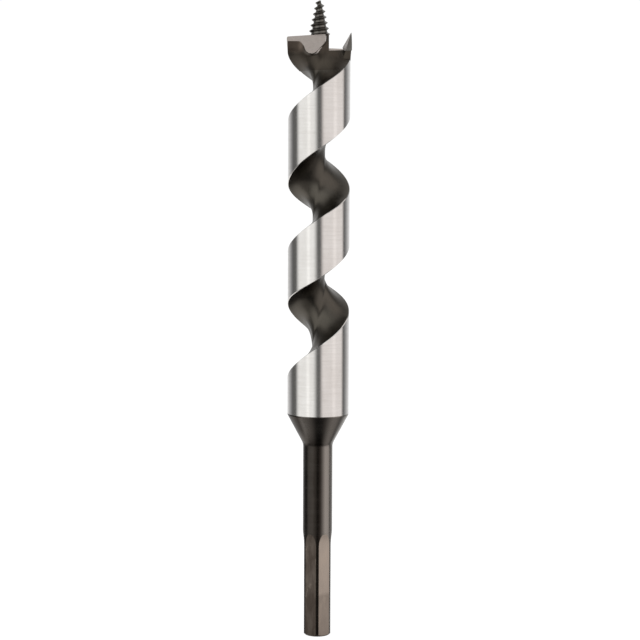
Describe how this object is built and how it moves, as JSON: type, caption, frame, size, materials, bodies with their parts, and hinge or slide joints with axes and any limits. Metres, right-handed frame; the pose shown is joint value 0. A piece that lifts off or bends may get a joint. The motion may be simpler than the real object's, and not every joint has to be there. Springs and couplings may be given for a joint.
{
  "type": "auger bit",
  "caption": "Auger drill bit for wood: a screw point, a cutting lip and a side spur on a fluted twist, with a ground collar, a conical neck and a hexagonal driving shank.",
  "frame": {"origin": "centre of the shank's flat end face", "axes": "+Z along the drilling axis, from the shank's end to the screw point; the cutting lip lies along -X with its rake face towards -Y, and the side spur lies along +X"},
  "size_m": [0.019, 0.0186, 0.1884],
  "materials": {
    "dark_steel": "hardened steel with a dark brown-black oil-quenched skin, satin",
    "ground_steel": "cylindrically ground bright steel with fine lines round the axis",
    "whetted_steel": "steel ground by hand to an edge, fine matt scratches"
  },
  "bodies": {
    "root": {"hex_shank": "dark_steel", "round_shank": "dark_steel", "neck_cone": "dark_steel", "collar": "ground_steel", "flute_twist": "ground_steel", "cutting_head": "dark_steel", "cutting_lip": "whetted_steel", "side_spur": "whetted_steel", "lead_screw": "dark_steel"}
  },
  "joints": []
}
